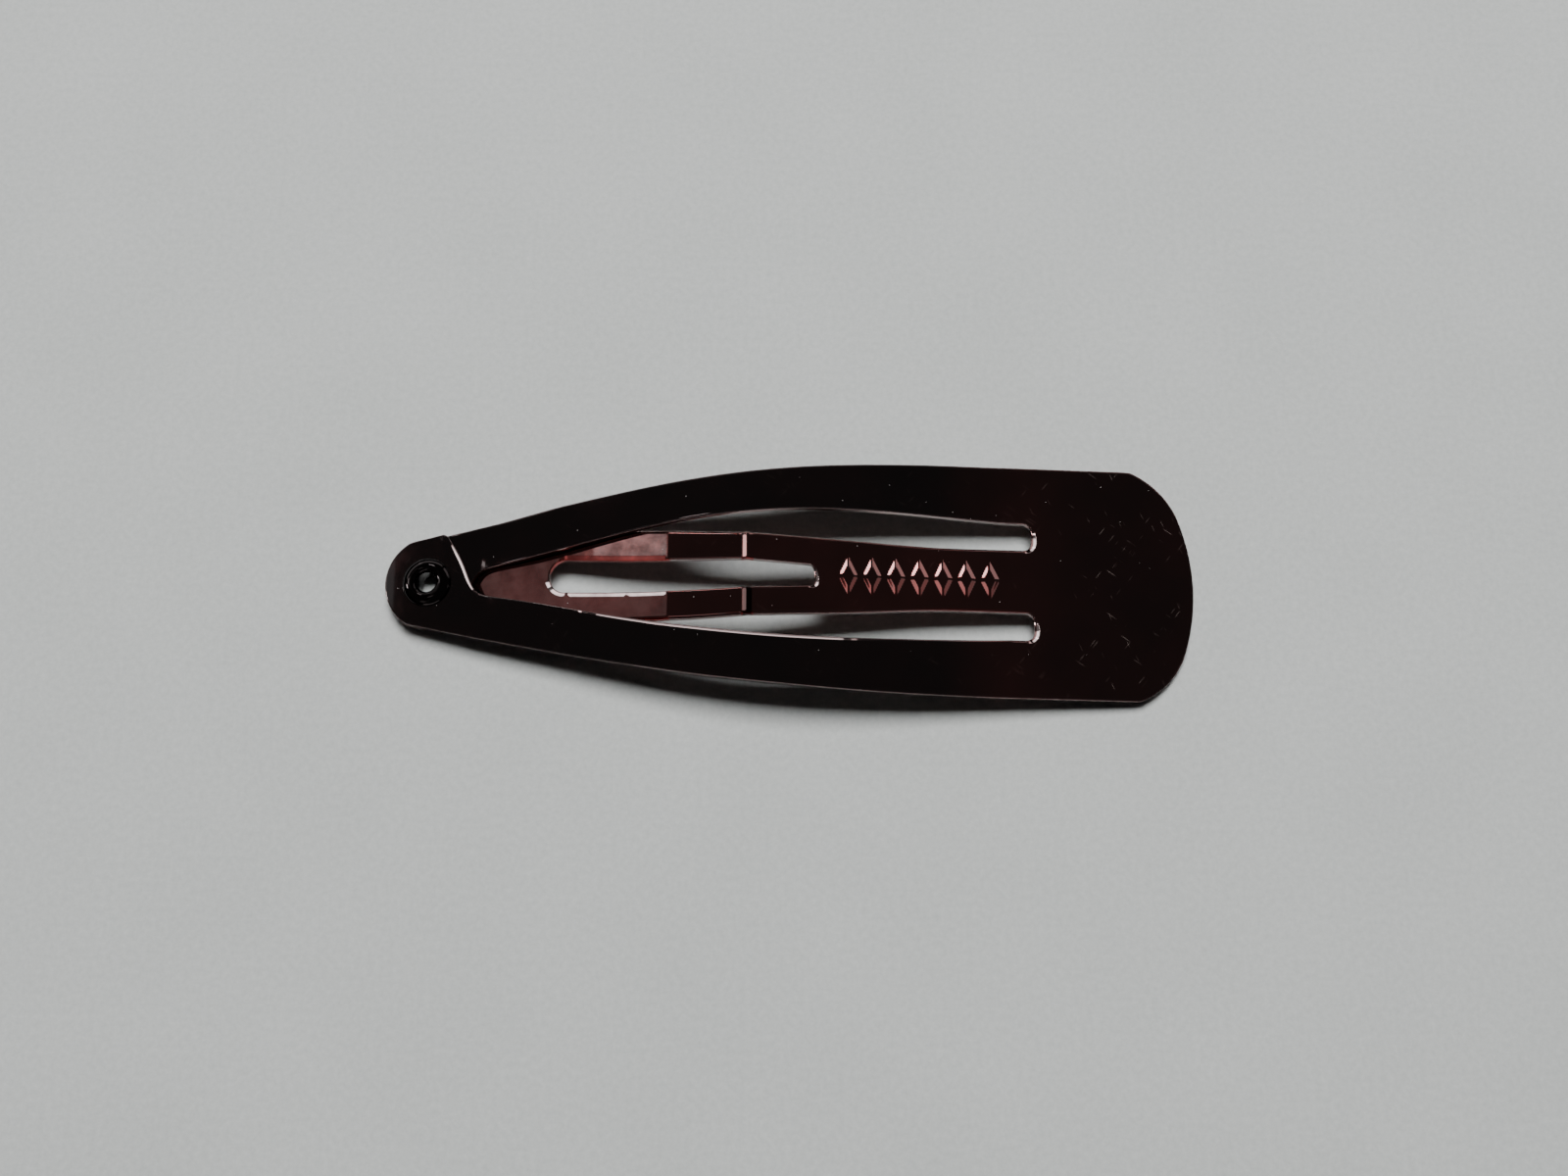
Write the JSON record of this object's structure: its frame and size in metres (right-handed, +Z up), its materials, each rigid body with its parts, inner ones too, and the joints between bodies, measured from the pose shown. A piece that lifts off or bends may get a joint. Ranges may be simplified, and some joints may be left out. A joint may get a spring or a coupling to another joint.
{
  "type": "snap hair clip (barrette)",
  "caption": "Snap hair clip of dark lacquered spring sheet: wide plate, slotted tongue under two arched arms, lapped and eyeleted at the narrow end",
  "frame": {"origin": "on the surface the clip lies on, under the middle of its length and width", "axes": "+X along the clip towards its wide plate, +Y across it, +Z up out of its convex face"},
  "size_m": [0.05, 0.0148, 0.0044],
  "materials": {
    "lacquered_sheet": "gloss dark brown lacquer over spring steel",
    "lacquered_eyelet": "gloss dark brown lacquer over a rolled metal eyelet"
  },
  "bodies": {
    "blank": {"plate_and_tongue": "lacquered_sheet"},
    "arms": {"under_arm": "lacquered_sheet", "over_arm": "lacquered_sheet", "eyelet": "lacquered_eyelet"}
  },
  "joints": [
    {"name": "snap_open", "type": "hinge", "parent": "blank", "child": "arms", "pos_m": [0.01346, 0, 0.00187], "axis": [0, 1, 0], "range_deg": [0, 25]}
  ]
}
